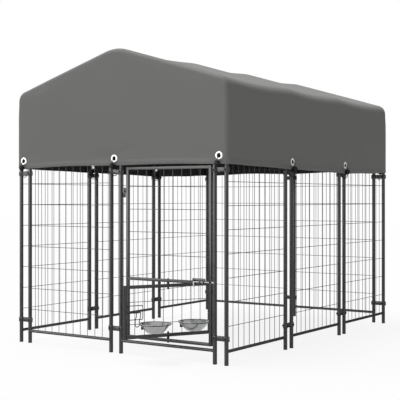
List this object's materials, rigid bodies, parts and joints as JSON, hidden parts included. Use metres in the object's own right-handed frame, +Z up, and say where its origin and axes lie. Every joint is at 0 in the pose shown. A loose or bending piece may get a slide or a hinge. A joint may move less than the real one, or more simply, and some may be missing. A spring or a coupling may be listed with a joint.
{
  "type": "outdoor dog kennel run",
  "caption": "Outdoor dog kennel run of clamped wire panels with a hinged door, a turning bowl feeder in the door and a grey gabled cloth cover.",
  "frame": {"origin": "on the ground in the middle of the whole part's box, halfway between the side ties and between the feeder's foremost end and the rear ties", "axes": "+X to the right seen from the door side, +Y from the door side to the back along the run, +Z up"},
  "size_m": [1.7516, 2.5844, 1.9035],
  "materials": {
    "powder_coat": "satin charcoal powder coat",
    "black_steel": "satin black",
    "black_plastic": "moulded, slightly glossy",
    "cover_cloth": "matt coated woven polyester",
    "grommet_plating": "bright plated",
    "elastic": "braided elastic cord",
    "zinc_steel": "zinc plated",
    "polished_steel": "pressed stainless steel"
  },
  "bodies": {
    "run": {"front_left_panel": "powder_coat", "door_panel": "powder_coat", "back_left_panel": "powder_coat", "back_right_panel": "powder_coat", "left_front_panel": "powder_coat", "left_middle_panel": "powder_coat", "left_back_panel": "powder_coat", "right_front_panel": "powder_coat", "right_middle_panel": "powder_coat", "right_back_panel": "powder_coat", "clamp_outer_straps": "powder_coat", "clamp_inner_straps": "powder_coat", "front_rafters": "powder_coat", "second_rafters": "powder_coat", "third_rafters": "powder_coat", "back_rafters": "powder_coat", "eave_elbows": "powder_coat", "ridge_elbows": "powder_coat", "hinge_post_knuckles": "powder_coat", "clamp_bolts": "black_steel", "clamp_nuts": "black_steel", "foot_caps": "black_plastic", "post_caps": "black_plastic", "tie_balls": "black_plastic", "cover_roof_left": "cover_cloth", "cover_roof_right": "cover_cloth", "cover_front_gable": "cover_cloth", "cover_back_gable": "cover_cloth", "cover_left_skirt": "cover_cloth", "cover_right_skirt": "cover_cloth", "grommets": "grommet_plating", "tie_cords": "elastic", "hinge_pins": "black_steel", "latch_keeper": "zinc_steel"},
    "door": {"door_frame": "powder_coat", "door_mesh": "powder_coat", "hinge_door_knuckles": "powder_coat", "latch_plate": "powder_coat", "latch_screws": "zinc_steel", "pivot_bolts": "black_steel", "pivot_nuts": "black_steel", "pivot_spacers": "black_steel", "lock_keeper": "powder_coat"},
    "door_bolt": {"latch_bolt": "zinc_steel"},
    "feeder": {"feeder_frame": "powder_coat", "feeder_mesh": "powder_coat", "bowl_bracket_left": "black_steel", "bowl_bracket_right": "black_steel", "bowl_ring_left": "black_steel", "bowl_ring_right": "black_steel", "lock_loop": "powder_coat"},
    "feeder_lock": {"lock_bolt": "black_steel"},
    "left_bowl": {"bowl_left": "polished_steel"},
    "right_bowl": {"bowl_right": "polished_steel"}
  },
  "joints": [
    {"name": "door_hinge", "type": "hinge", "parent": "run", "child": "door", "pos_m": [0.0695, -1.02362, 0.6], "axis": [0, 0, -1], "range_deg": [0, 95]},
    {"name": "door_bolt_slide", "type": "slide", "parent": "door", "child": "door_bolt", "axis": [1, 0, 0], "range_m": [0, 0.034]},
    {"name": "feeder_pivot", "type": "hinge", "parent": "door", "child": "feeder", "pos_m": [0.403, -1.02362, 0.29], "axis": [0, 0, 1], "range_deg": [-61, 119]},
    {"name": "feeder_lock_slide", "type": "slide", "parent": "feeder", "child": "feeder_lock", "axis": [-0.4848, -0.8746, 0], "range_m": [0, 0.03]},
    {"name": "left_bowl_lift", "type": "slide", "parent": "feeder", "child": "left_bowl", "axis": [0, 0, 1], "range_m": [0, 0.1]},
    {"name": "right_bowl_lift", "type": "slide", "parent": "feeder", "child": "right_bowl", "axis": [0, 0, 1], "range_m": [0, 0.1]}
  ]
}
